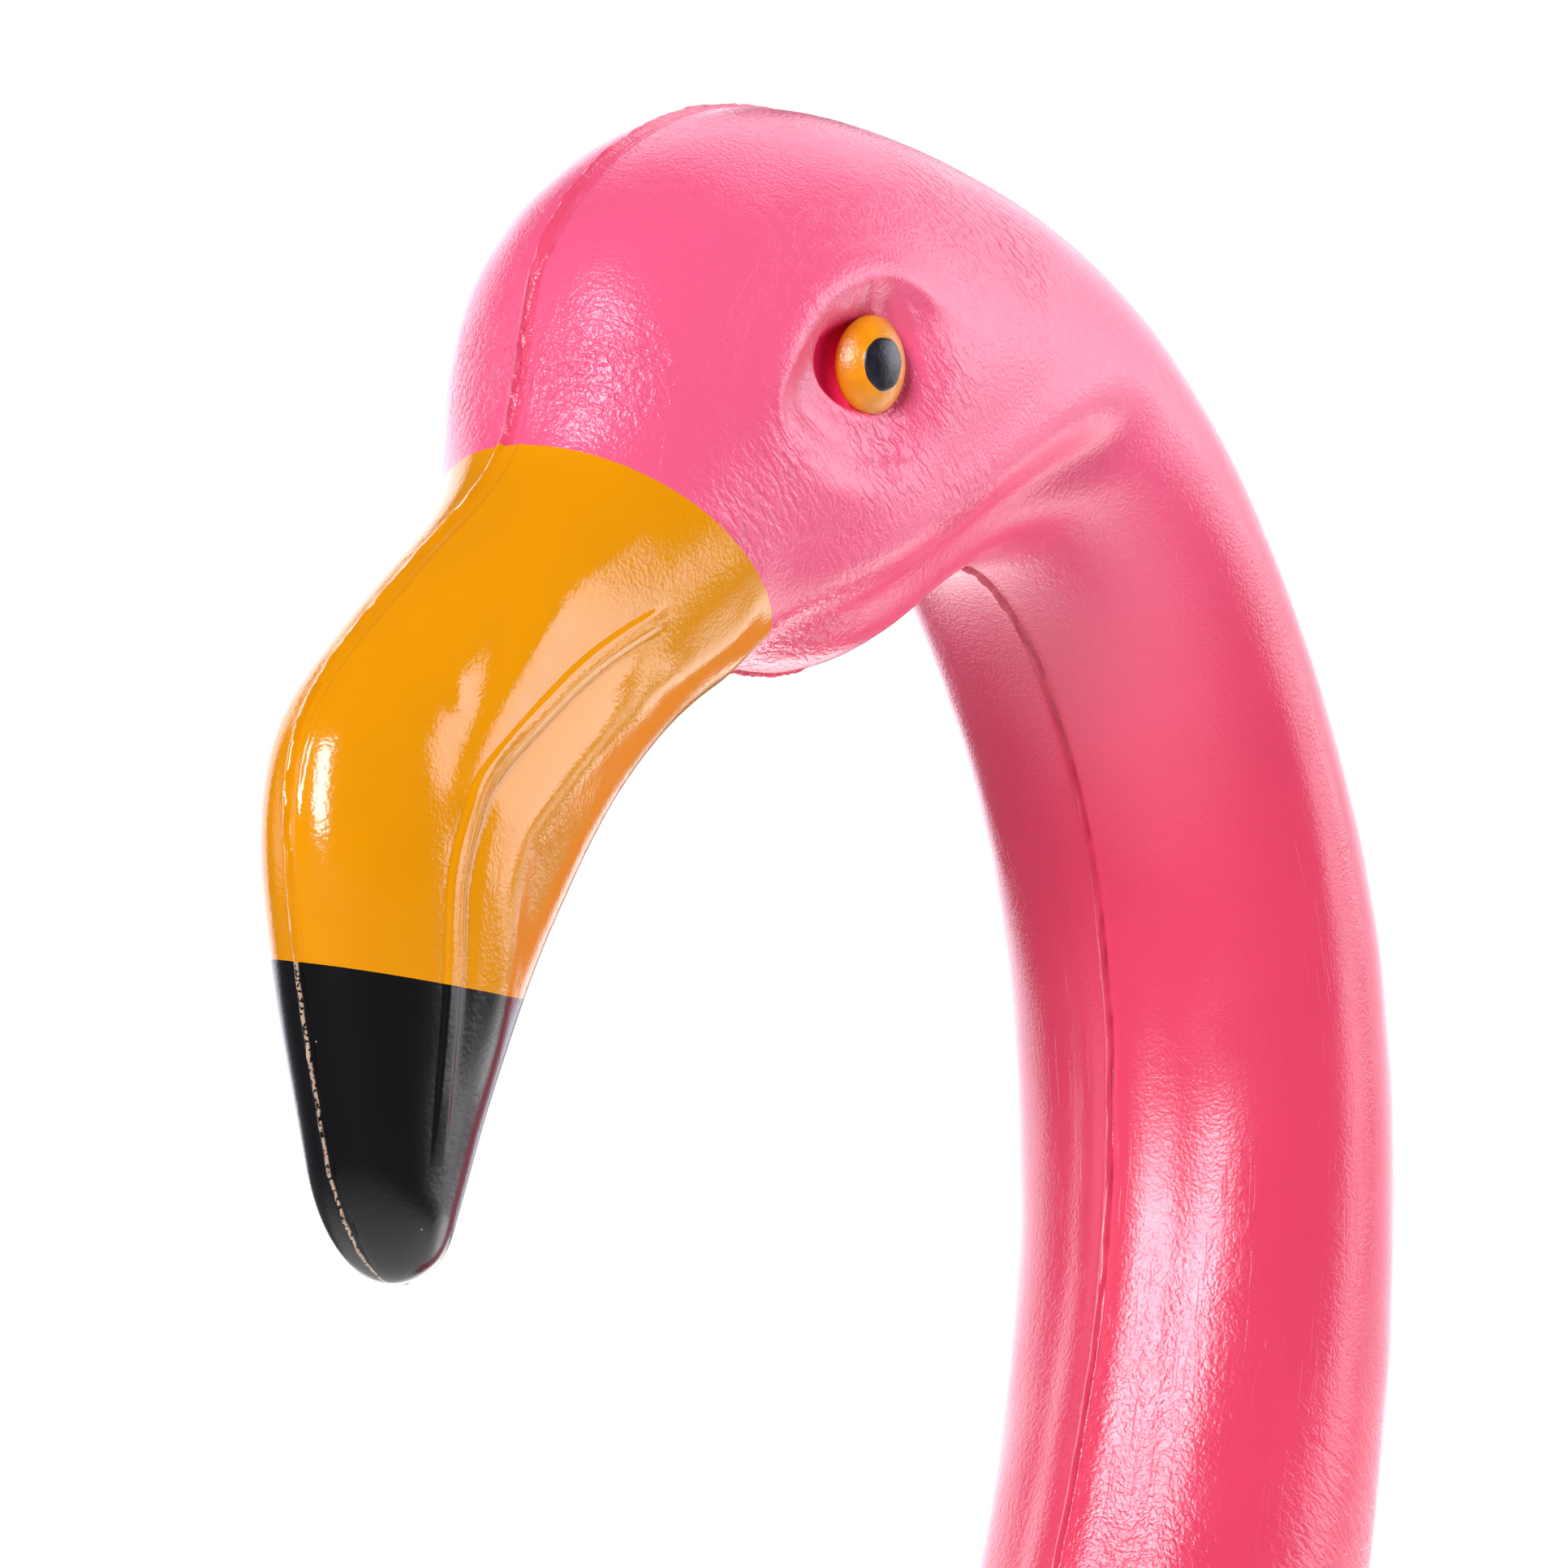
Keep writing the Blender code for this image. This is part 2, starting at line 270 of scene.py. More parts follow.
class FlamingoSkinSizes(bpy.types.PropertyGroup):
    seam_height: length_property("Seam height", "How far the parting seam stands out", 0.0006)
    orbit_depth: length_property("Orbit depth", "Depth of the bowl round each eye", 0.0029)
    brow_height: length_property("Brow height", "How far the brow stands out over the eye", 0.0009)
    socket_depth: length_property(
        "Socket depth", "Depth of the steep hollow that the eye stands in", 0.0028
    )
    jaw_fullness: length_property(
        "Jaw fullness", "How far the jaw edge swells over the chin", 0.0011
    )
    jaw_valley: length_property("Jaw valley", "Depth of the valley between jaw and chin", 0.0021)
    lip_width: length_property("Lip width", "Width of the lip that runs along the mouth", 0.0022)
    lip_height: length_property("Lip height", "How far the lip stands out of the bill", 0.00042)
    neck_flat: length_property(
        "Neck flats", "How far the neck is flattened on both sides of its throat", 0.0015
    )


class FlamingoEyeSizes(bpy.types.PropertyGroup):
    diameter: length_property("Diameter", "Width of the eye's dome at its socket", 0.0111)
    bulge: length_property("Bulge", "How far the dome stands out of its socket", 0.0027)
    squash: bpy.props.FloatProperty(
        name="Squash",
        description="Length of the eye from front to back, as a share of its height",
        default=0.87,
    )
    stand: length_property(
        "Stand", "Height of the dome's edge over the floor of its socket", 0.0008
    )
    turn: bpy.props.FloatProperty(
        name="Turn",
        description="How far each eye looks forward",
        default=radians(16),
        unit="ROTATION",
    )
    droop: bpy.props.FloatProperty(
        name="Droop",
        description="How far each eye looks down",
        default=radians(3),
        unit="ROTATION",
    )
    pupil: length_property("Pupil", "Width of the painted pupil", 0.0060)
    pupil_step: length_property(
        "Pupil step", "How far the pupil's thick paint stands on the dome", 0.00012
    )


class FlamingoColours(bpy.types.PropertyGroup):
    # Pink and head pink are shaded and lit copies of one plastic: the neck's pink is darkened as
    # painted shade, and the head's is paler and bluer as painted light and sheen.
    pink: colour_property("Pink", "Moulded plastic of the neck", (0.66, 0.050, 0.106))
    lit_head_pink: colour_property("Head pink", "Plastic of the head", (0.80, 0.104, 0.210))
    # Deep pink is painted shade: the dark, saturated pink of shade and bounced pink light deep in
    # the eye sockets.
    socket_shade_pink: colour_property("Deep pink", "Plastic deep in the sockets", (0.95, 0.012, 0.12))
    orange: colour_property("Orange", "Paint of the bill", (0.73, 0.282, 0.001))
    black: colour_property("Black", "Paint of the bill's tip", (0.002, 0.002, 0.0025))
    amber: colour_property("Amber", "Paint of the eyes", (0.82, 0.30, 0.004))
    pupil: colour_property("Pupil", "Paint of the pupils", (0.010, 0.011, 0.015))
    seam_pink: colour_property("Seam pink", "Plastic along the seam", (0.70, 0.05, 0.105))
    # Partly painted shade and partly dirt: the dark of the groove beside the seam.
    groove_shade_and_dirt: colour_property("Dirt", "Dirt in the groove by the seam", (0.30, 0.008, 0.02))
    brown_dust: colour_property("Brown dust", "Specks on the orange", (0.3, 0.06, 0.01))
    pale_dust: colour_property("Pale dust", "Specks on the black", (0.45, 0.45, 0.48))
    chipped: colour_property("Chipped", "Where the black is chipped off", (0.50, 0.36, 0.24))


class FlamingoStudio(bpy.types.PropertyGroup):
    floor_radius: length_property("Floor radius", "Radius of the pale floor disc", 3.0)
    surroundings: bpy.props.FloatProperty(
        name="Surroundings",
        description="Brightness of the room as the object sees it",
        default=0.05,
    )
    table_glow: bpy.props.FloatProperty(
        name="Table glow",
        description="Brightness of the white table as the object sees it",
        default=1.1,
    )
    light_scale: bpy.props.FloatProperty(
        name="Light scale",
        description="Brightness of all the lamps together",
        default=1.0,
    )


def closing(place):
    """How far a section has opened behind the rounded end of the bill."""
    return np.sqrt(1 - (1 - np.minimum(place, 1)) ** 2)


def share(thousandths):
    """A length in metres from thousandths of the form's height."""
    return thousandths / 1000 * FORM_HEIGHT


FORM_HEIGHT = (CAD_HIGH.z - CAD_LOW.z - SOLID_SEAM) / CROWN_SHARE


def form_point(place, angle):
    """Points of the plain form at places along it, at angles from the top line."""
    top_f, top_z, under_f, under_z, half_width = np.moveaxis(section_at(place), -1, 0)
    upward = closing(place) * np.cos(angle)
    sideways = closing(place) * np.sin(angle) * half_width
    forward = (top_f + under_f + upward * (top_f - under_f)) / 2
    height = (top_z + under_z + upward * (top_z - under_z)) / 2
    return share(np.stack([sideways, -forward, height], -1))


def mouth_angle(place):
    """The angle of the mouth line at a place, and of the eye's level behind it."""
    return np.interp(place, *mouth_course)


def column_angle(place, column):
    """The angle of each column at a place, crowded by both seams and by the mouth."""
    half_width = share(section_at(place)[..., 4]) * closing(place) + 1e-9
    edge = np.arcsin(np.minimum(0.55, SEAM_ZONE / half_width))
    side = np.where(column > SIDE_COLUMNS, 2 * SIDE_COLUMNS - column, column)
    from_seam = np.minimum(side, SIDE_COLUMNS - side)
    by_seam = np.arcsin(np.minimum(from_seam / SEAM_COLUMNS, 1) * np.sin(edge))
    to_mouth = (side - SEAM_COLUMNS) / (SIDE_COLUMNS / 2 - SEAM_COLUMNS) - 1
    stride = MOUTH_SPACING * to_mouth + (1 - MOUTH_SPACING) * to_mouth * np.abs(to_mouth)
    mouth = mouth_angle(place)
    room = np.where(to_mouth < 0, mouth - edge, pi - edge - mouth)
    between = mouth + room * stride
    angle = np.where(side < SIDE_COLUMNS / 2, by_seam, pi - by_seam)
    angle = np.where(from_seam > SEAM_COLUMNS, between, angle)
    return np.where(column > SIDE_COLUMNS, 2 * pi - angle, angle)


def end_places(end):
    """The place on each column where a paint or the form ends."""
    *plane, wobble, low, high = end
    level = above_plane(plane, wobble)
    column = np.arange(2 * SIDE_COLUMNS + 1)
    low = np.full(column.shape, float(low))
    high = np.full(column.shape, float(high))
    end_sign = level(form_point(high, column_angle(high, column))) > 0
    for _ in range(30):
        middle = (low + high) / 2
        beyond = (level(form_point(middle, column_angle(middle, column))) > 0) == end_sign
        high = np.where(beyond, middle, high)
        low = np.where(beyond, low, middle)
    return high


def side_view(points):
    """Forward and height of points, in thousandths of the form's height."""
    return -points[..., 1] / share(1), points[..., 2] / share(1)


def above_plane(plane, wobble):
    """A level function: height over a paint's end, which wobbles as it goes round."""

    def level(points):
        forward, height = side_view(points)
        left = points[..., 0] / share(1)
        unevenness = wobble * ripple(left + 0.7 * forward, WOBBLE_PITCH)
        return height - plane[0] - plane[1] * forward - plane[2] * left - unevenness

    return level


def ripple(value, pitch):
    """An uneven wave of about unit height."""
    t = value / pitch
    wave = np.sin(t) + 0.6 * np.sin(t / 0.61 + 1.3) + 0.4 * np.sin(t / 0.37 + 4.1)
    return wave / 1.6


def ramp(start, end, value):
    """A smooth step from 0 at start to 1 at end."""
    t = np.clip((value - start) / (end - start), 0, 1)
    return t * t * (3 - 2 * t)


def hill(distance, width):
    """A rounded hill of height 1 over a distance from its middle."""
    return np.exp(-((distance / width) ** 2))


def from_line(line, forward, height):
    """Distance above a line of points, and the share of its length reached."""
    line = np.array(line, float)
    steps = np.diff(line, axis=0)
    lengths = np.hypot(steps[:, 0], steps[:, 1])
    starts = np.concatenate([[0], np.cumsum(lengths)])
    best = np.full(np.shape(forward), np.inf)
    signed = np.zeros(np.shape(forward))
    reached = np.zeros(np.shape(forward))
    for start, step, length, before in zip(line, steps, lengths, starts):
        off_f = forward - start[0]
        off_z = height - start[1]
        t = np.clip((off_f * step[0] + off_z * step[1]) / length**2, 0, 1)
        gap = np.hypot(off_f - t * step[0], off_z - t * step[1])
        side = np.where(step[0] * off_z - step[1] * off_f > 0, 1.0, -1.0)
        nearer = gap < best
        best = np.where(nearer, gap, best)
        signed = np.where(nearer, side * gap, signed)
        reached = np.where(nearer, (before + t * length) / starts[-1], reached)
    return signed, reached


def rounded(line, steps):
    """More points on a smooth curve through a line of points."""
    return smooth_through(line)(np.linspace(0, len(line) - 1.0001, steps * len(line)))


def mouth_on_form():
    """Places along the bill and the mouth line's angle there, from its own course."""
    places = np.linspace(1.0, 6.6, 57)
    angles = np.linspace(radians(40), radians(130), 181)
    points = form_point(places[:, None], angles[None, :])
    above, _ = from_line(rounded(MOUTH_LINE, 6), *side_view(points))
    found = angles[np.argmin(np.abs(above), axis=1)]
    found = np.convolve(np.pad(found, 3, mode="edge"), np.ones(7) / 7, mode="valid")
    places = np.append(places, (9.0, 24.0))
    return places, np.append(found, (radians(86), radians(90)))


mouth_course = mouth_on_form()


def orbit(forward, height, sizes):
    """The hollow round the eye: deep under its raised brow, shallow at its foot."""
    inside, along = from_line(rounded(BROW_LINE, 4), forward, height)
    off_f = forward - ORBIT_CENTRE[0]
    off_z = height - ORBIT_CENTRE[1]
    front, rear, top, bottom = ORBIT_REACH
    across = off_f / np.where(off_f > 0, front, rear)
    upward = off_z / np.where(off_z > 0, top, bottom)
    foot = 1 - ramp(0.30, 1.0, np.hypot(across, upward))
    ends = ramp(0.0, 0.30, along) * (1 - ramp(0.70, 1.0, along))
    soft = 1 + 1.5 * ramp(862, 812, height) + 1.2 * ramp(205, 165, forward)
    bowl = -sizes.orbit_depth * ramp(-6 * soft, 19 * soft, inside) * foot
    return bowl + sizes.brow_height * ends * hill(inside + 1, np.where(inside < -1, 15, 7))


def socket_reach(forward, height):
    """Distance from the eye's middle, as a share of the way to the socket's lip."""
    off_f = (forward - SOCKET_CENTRE[0]) * share(1)
    off_z = (height - SOCKET_CENTRE[1]) * share(1)
    longways = np.where(off_f > 0, SOCKET_RADIUS + share(TEAR_CORNER), SOCKET_RADIUS)
    across = np.abs(off_f / longways) ** SOCKET_SQUARENESS
    upward = np.abs(off_z / SOCKET_RADIUS) ** SOCKET_SQUARENESS
    return (across + upward) ** (1 / SOCKET_SQUARENESS)


def head_carving(forward, height, sizes):
    """Orbits, sockets, jaw and fine lines of the head, in metres out of the plain form."""
    carving = orbit(forward, height, sizes)
    deep = 0.28 + 0.72 * ramp(232, 264, forward)
    carving -= sizes.socket_depth * deep * (1 - ramp(0.80, 1.0, socket_reach(forward, height)))
    above, reached = from_line(JAW_LINE, forward, height)
    fade = ramp(-0.05, 0.28, reached) * (1 - ramp(0.85, 1.0, reached))
    carving += fade * sizes.jaw_fullness * hill(above - 18, 15)
    carving -= fade * sizes.jaw_valley * hill(above + 16, 15)
    behind = np.hypot(forward - HOLLOW_BEHIND_EYE[0], height - HOLLOW_BEHIND_EYE[1])
    carving -= share(HOLLOW_DEPTH) * hill(behind, HOLLOW_REACH)
    carving = ramp(-60, 40, forward) * ramp(690, 720, height) * carving
    for lift, width, line in FINE_LINES:
        away, along = from_line(rounded(line, 3), forward, height)
        ends = ramp(0.0, 0.2, along) * (1 - ramp(0.8, 1.0, along))
        carving = carving + lift * MM * ends * hill(away * share(1), width * MM)
    return carving


def leather_strength(forward, height):
    """Where the mould's leather is creased, and how strongly."""
    strength = np.zeros(forward.shape)
    for f, z, reach, most in LEATHER_PATCHES:
        strength = np.maximum(strength, most * hill(np.hypot(forward - f, height - z), reach))
    return strength


def mouth_lip(forward, height, sizes):
    """The mouth: a flat-topped lip, with the lower jaw hollow under it and then full.

    What lies below the mouth is counted in widths of the lip.
    """
    above, reached = from_line(rounded(MOUTH_LINE, 6), forward, height)
    below = -above * share(1) / sizes.lip_width
    corner = ramp(0.0, 0.05, reached)
    lip = ramp(-0.12, 0.14, below) * (1 - 0.2 * np.clip(below, 0, 1))
    lip = corner * lip * (1 - ramp(0.82, 1.16, below))
    jaw = 2.1 * hill(below - 4.2, 1.6) - 0.8 * hill(below - 1.4, 0.5)
    lip = lip * (1 - ramp(0.88, 1.0, reached))
    jaw = jaw * ramp(-0.02, 0.25, reached) * (1 - ramp(0.62, 0.95, reached))
    return sizes.lip_height * (lip + jaw)


def neck_flats(place, angle, sizes):
    """Broad flats on the neck, one on each side of the throat seam."""
    beyond = np.degrees(np.abs(angle - pi)) - 21
    flats = hill(beyond, np.where(beyond < 0, 12, 45))
    return -sizes.neck_flat * flats * ramp(*NECK_FLATS_BEGIN, place)


def seam_relief(from_seam, place, angle, sizes):
    """The parting seam: a thin uneven flash on a low band, with a groove beside it.

    Distances from the seam are in mm, and heights are shares of the seam's height.
    """
    at_throat = np.cos(angle) < 0
    uneven = 0.8 + 0.25 * ripple(place, 0.06) + 0.12 * ripple(place, 0.017)
    on_head = ramp(*HEAD_SEAM_BEGINS, place) * (1 - at_throat)
    flash = 0.72 * hill(from_seam + 0.05, 0.24) * uneven
    plateau = ramp(-0.4, -0.1, from_seam) * (1 - ramp(1.25, 1.55, from_seam))
    band = 0.28 * hill(from_seam, 0.8) + on_head * (0.32 * plateau - 0.28 * hill(from_seam, 0.8))
    groove = -0.30 * hill(from_seam - 0.5 - HEAD_BAND_WIDTH * on_head, 0.2)
    off = np.interp(place, SECOND_SEAM_PLACES, SECOND_SEAM_OFFSETS)
    second = 0.42 * hill(from_seam - off - 0.15 * ripple(place, 0.8), 0.34)
    second = second * ramp(*SECOND_SEAM_BEGINS, place) * (1 - ramp(*SECOND_SEAM_ENDS, place))
    shape = flash + band + groove + np.where(at_throat, 0, second)
    return sizes.seam_height * shape


def seam_shade_and_dirt(from_seam, place, angle):
    """Where the groove beside the seam is darkened, partly as painted shade and partly as dirt: a
    broken line, dark at the throat.
    """
    at_throat = ramp(0.2, -0.2, np.cos(angle))
    on_head = ramp(*HEAD_SEAM_BEGINS, place) * (1 - at_throat)
    line = hill(from_seam - 0.42 - HEAD_BAND_WIDTH * on_head, 0.17)
    broken = np.clip(0.55 + 0.45 * ripple(place, 0.045) + 0.3 * ripple(place, 0.31), 0, 1)
    return line * broken * (0.25 + 0.6 * at_throat)


def lay_places():
    """The place and the angle of every grid point: rows follow the ends of the paints."""
    column = np.arange(2 * SIDE_COLUMNS + 1)
    black_ends = end_places(BLACK_ENDS)
    orange_ends = end_places(ORANGE_ENDS)
    cut = end_places(CUT_ENDS)
    turn = np.linspace(0, 1, TIP_ROWS + 1)[:-1, None] * (black_ends - 1 + pi / 2)
    tip = np.where(turn < pi / 2, 1 - np.cos(np.minimum(turn, pi / 2)), 1 + turn - pi / 2)
    t = np.linspace(0, 1, BILL_ROWS + 1)[:-1, None]
    bill = black_ends + t * (orange_ends - black_ends)
    spans = [
        np.linspace(start, end, round((end - start) * rows) + 1)[:-1]
        for start, end, rows in NECK_ROWS_PER_PLACE
    ]
    first, last = NECK_ROWS_PER_PLACE[0][0], NECK_ROWS_PER_PLACE[-1][1]
    plain = np.concatenate(spans + [[last]])[:, None]
    neck = plain + (orange_ends - first) * (1 - ramp(first, first + EVENING_OUT, plain))
    neck = neck + (cut - last) * ramp(last - LEVELLING, last, plain)
    places = np.concatenate([tip, bill, neck])
    return places, column_angle(places, column[None, :])


def grid_normals(points):
    """Outward normals of a grid of points that closes on itself round the form."""
    along = np.gradient(points, axis=0)
    ring = points[:, :-1]
    around = np.roll(ring, -1, axis=1) - np.roll(ring, 1, axis=1)
    around = np.concatenate([around, around[:, :1]], axis=1)
    normals = np.cross(around, along)
    normals[0] = points[0].mean(0) - points[8].mean(0)
    return normals / np.linalg.norm(normals, axis=-1, keepdims=True)


def skin_grid(sizes):
    """Points of the finished skin on the grid, with what the paints need to know."""
    places, angles = lay_places()
    points = form_point(places, angles)
    normals = grid_normals(points)
    forward, height = side_view(points)
    wander = 0.12 * ripple(places, 0.35) + 0.05 * ripple(places, 0.05)
    from_seam = points[..., 0] / MM - wander
    lift = head_carving(forward, height, sizes)
    lift = lift + mouth_lip(forward, height, sizes) + neck_flats(places, angles, sizes)
    lift = lift + seam_relief(from_seam, places, angles, sizes) * ramp(0.02, 0.3, places)
    # Where the sockets' painted shade lies: inside the lip, strongest at the socket's front.
    socket = 1 - ramp(0.84, 0.96, socket_reach(forward, height))
    socket = socket * ramp(225, 262, forward) * ramp(700, 740, height)
    brushed = np.hypot(forward - BRUSHED_PLACE[0], height - BRUSHED_PLACE[1])
    strokes = hill(brushed, BRUSHED_REACH) * ramp(2.5, 4.5, from_seam)
    points = points + normals * lift[..., None]
    spots = (points.reshape(-1, 3) * UNEVEN_SCALE).tolist()
    uneven = np.array([noise.noise(spot) for spot in spots])
    points = points + normals * UNEVEN_HEIGHT * uneven.reshape(places.shape)[..., None]
    points[-1, :, 2] = 0.0
    steps = np.linalg.norm(np.diff(points, axis=1), axis=-1)
    around = np.concatenate([np.zeros((len(points), 1)), np.cumsum(steps, 1)], 1)
    lengths = np.linalg.norm(np.diff(points, axis=0), axis=-1).mean(1)
    along = np.concatenate([[0], np.cumsum(lengths)])[:, None] + 0 * around
    return points, {
        "from_seam": from_seam,
        "socket": socket,
        "leather": leather_strength(forward, height),
        "strokes": strokes,
        "seam_shade_and_dirt": seam_shade_and_dirt(from_seam, places, angles),
        "around": around,
        "along": along,
    }


def new_piece(name, bm, materials):
    """A mesh object at the origin that rides on the bust and wears its finishes."""
    mesh = bpy.data.meshes.new(name)
    bm.to_mesh(mesh)
    bm.free()
    for material in materials:
        mesh.materials.append(material)
    mesh.shade_smooth()
    piece = bpy.data.objects.new(name, mesh)
    bpy.context.scene.collection.objects.link(piece)
    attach(piece, "root")
    return piece


def wrap_skin(points, marks):
    """A grid wrapped on the points, with its edges merged and its lower end closed."""
    rows, columns = points.shape[:2]
    bm = bmesh.new()
    map_layer = bm.loops.layers.uv.new("along_form")
    bmesh.ops.create_grid(bm, x_segments=columns - 1, y_segments=rows - 1, size=1)
    layers = {name: bm.verts.layers.float.new(name) for name in MARKS}
    flat_marks = {name: marks[name].ravel().tolist() for name in MARKS}
    around = marks["around"].ravel().tolist()
    along = marks["along"].ravel().tolist()
    for index, (vertex, place) in enumerate(zip(bm.verts, points.reshape(-1, 3).tolist())):
        vertex.co = place
        for name, layer in layers.items():
            vertex[layer] = flat_marks[name][index]
        for loop in vertex.link_loops:
            loop[map_layer].uv = (around[index], along[index])
    cells = columns - 1
    for index, face in enumerate(bm.faces):
        row = index // cells
        painted = BLACK if row < TIP_ROWS else ORANGE
        face.material_index = painted if row < TIP_ROWS + BILL_ROWS else PINK
    bmesh.ops.remove_doubles(bm, verts=bm.verts[:], dist=1e-6)
    rim = [edge for edge in bm.edges if edge.is_boundary]
    cap = bmesh.ops.contextual_create(bm, geom=rim)["faces"]
    for face in cap:
        face.material_index = CUT
    bmesh.ops.inset_region(bm, faces=cap, thickness=0.0004, depth=0.0)
    bmesh.ops.recalc_face_normals(bm, faces=bm.faces[:])
    return bm


def eye_dome(sizes):
    """An eye about its own axis: underside, dome and a pupil of thick paint."""
    half = sizes.diameter / 2
    ball = (half**2 + sizes.bulge**2) / (2 * sizes.bulge)
    edge = sizes.pupil / 2

    def dome(reach):
        return (ball**2 - reach**2) ** 0.5 + sizes.bulge - ball

    under = ((0.5, -3.4), (0.72, -2.2), (0.88, -1.2), (0.96, -0.6))
    profile = [(half * t, out * MM) for t, out in under]
    profile += [(half * t, dome(half * t)) for t in (1.0, 0.97, 0.92, 0.86, 0.8, 0.74, 0.68, 0.62)]
    profile += [(edge * 1.03, dome(edge * 1.03)), (edge, dome(edge) + sizes.pupil_step * 0.2)]
    profile += [(edge * 0.98, dome(edge) + sizes.pupil_step)]
    for t in (0.93, 0.85, 0.7, 0.5, 0.25, 0.0):
        profile.append((edge * t, dome(edge * t) * 0.93 + 0.07 * dome(edge) + sizes.pupil_step))
    bm = bmesh.new()
    line = [bm.verts.new((reach, 0, out)) for reach, out in profile]
    edges = [bm.edges.new(pair) for pair in zip(line, line[1:])]
    turned = {"axis": (0, 0, 1), "cent": (0, 0, 0), "angle": 2 * pi, "steps": EYE_SEGMENTS}
    bmesh.ops.spin(bm, geom=line + edges, use_merge=True, **turned)
    bmesh.ops.remove_doubles(bm, verts=bm.verts[:], dist=1e-6)
    for vertex in bm.verts:
        reach = hypot(vertex.co.x, vertex.co.y)
        turn = atan2(vertex.co.y, vertex.co.x)
        near_pupil = float(hill(reach - edge, 0.5 * MM))
        slip = 1 + near_pupil * (0.022 * sin(3 * turn + 0.6) + 0.012 * sin(7 * turn + 2.0))
        vertex.co.x *= slip
        vertex.co.y *= slip * sizes.squash
    for face in bm.faces:
        middle = face.calc_center_median()
        reach = hypot(middle.x, middle.y / sizes.squash)
        face.material_index = int(middle.z > dome(edge) and reach < edge * 1.03)
    bmesh.ops.recalc_face_normals(bm, faces=bm.faces[:])
    return bm


class Recipe:
    """Lays nodes in one tree, so that a finish reads as a list of steps."""

    def __init__(self, tree):
        self.tree = tree

    def give(self, socket, value):
        """Links a socket to a value that is a node's output, or types the value in."""
        if isinstance(value, bpy.types.NodeSocket):
            self.tree.links.new(value, socket)
        else:
            socket.default_value = value

    def node(self, kind, inputs=None, **settings):
        node = self.tree.nodes.new(kind)
        for name, value in settings.items():
            setattr(node, name, value)
        for name, value in (inputs or {}).items():
            self.give(node.inputs[name], value)
        return node

    def math(self, operation, first, second=0.0):
        node = self.node("ShaderNodeMath", {0: first, 1: second}, operation=operation)
        return node.outputs[0]

    def times(self, first, second):
        return self.math("MULTIPLY", first, second)

    def plus(self, first, second):
        return self.math("ADD", first, second)

    def minus(self, first, second):
        return self.math("SUBTRACT", first, second)

    def vector(self, operation, first, second=(0, 0, 0)):
        inputs = {0: first, 1: second}
        return self.node("ShaderNodeVectorMath", inputs, operation=operation).outputs

    def noise(self, coordinates, scale, detail=2.0, distortion=0.0):
        inputs = {"Vector": coordinates, "Scale": scale, "Detail": detail}
        inputs["Distortion"] = distortion
        return self.node("ShaderNodeTexNoise", inputs).outputs[0]

    def band(self, value, low, high, start=0.0, end=1.0):
        """A smooth step of a value, from start at low to end at high."""
        inputs = {0: value, 1: low, 2: high, 3: start, 4: end}
        node = self.node("ShaderNodeMapRange", inputs, interpolation_type="SMOOTHSTEP")
        return node.outputs[0]

    def blend(self, mask, first, second):
        """A colour that goes from first to second as the mask rises."""
        node = self.node("ShaderNodeMix", data_type="RGBA")
        for index, value in ((0, mask), (6, first), (7, second)):
            self.give(node.inputs[index], value)
        return node.outputs[2]

    def attribute(self, name):
        return self.node("ShaderNodeAttribute", attribute_name=name).outputs["Fac"]


def effect_group(name, inputs, output):
    """A new group with its sockets: its recipe, its inputs and its end."""
    tree = bpy.data.node_groups.new(name, "ShaderNodeTree")
    for title, default in inputs:
        kind = "NodeSocketVector" if default is None else "NodeSocketFloat"
        socket = tree.interface.new_socket(title, in_out="INPUT", socket_type=kind)
        if default is not None:
            socket.default_value = default
    tree.interface.new_socket(output, in_out="OUTPUT", socket_type="NodeSocketFloat")
    recipe = Recipe(tree)
    start = recipe.node("NodeGroupInput").outputs
    end = recipe.node("NodeGroupOutput")
    return recipe, start, end


def grain_group():
    """Leathery grain of the mould: uneven cells with creases between, and fine pits."""
    recipe, start, end = effect_group(
        "leathery_grain", (("Coordinates", None), ("Cells", 1500.0), ("Fine", 0.3)), "Height"
    )
    inputs = {"Vector": start["Coordinates"], "Scale": 500.0, "Detail": 1.0}
    warp = recipe.node("ShaderNodeTexNoise", inputs).outputs["Color"]
    push = recipe.vector("MULTIPLY", warp, (0.0012, 0.0012, 0.0012))[0]
    place = recipe.vector("ADD", start["Coordinates"], push)[0]
    cells = recipe.node("ShaderNodeTexVoronoi", {"Vector": place, "Scale": start["Cells"]})
    fine = recipe.noise(place, recipe.times(start["Cells"], 2.3), 3.0)
    domes = recipe.minus(1.0, cells.outputs["Distance"])
    height = recipe.plus(domes, recipe.times(fine, start["Fine"]))
    recipe.give(end.inputs[0], height)
    return recipe.tree


def wrinkle_group():
    """Short wrinkles that lean one way: thin folds of a noise drawn out along them."""
    recipe, start, end = effect_group(
        "wrinkles", (("Coordinates", None), ("Folds", 1700.0)), "Height"
    )
    inputs = {
        "Vector": start["Coordinates"],
        "Rotation": (radians(-40), 0.0, 0.0),
        "Scale": (1.0, 3.6, 1.0),
    }
    leaning = recipe.node("ShaderNodeMapping", inputs, vector_type="TEXTURE")
    folds = recipe.noise(leaning.outputs[0], start["Folds"], 2.0, 0.4)
    height = recipe.band(folds, 0.36, 0.60)
    recipe.give(end.inputs[0], height)
    return recipe.tree


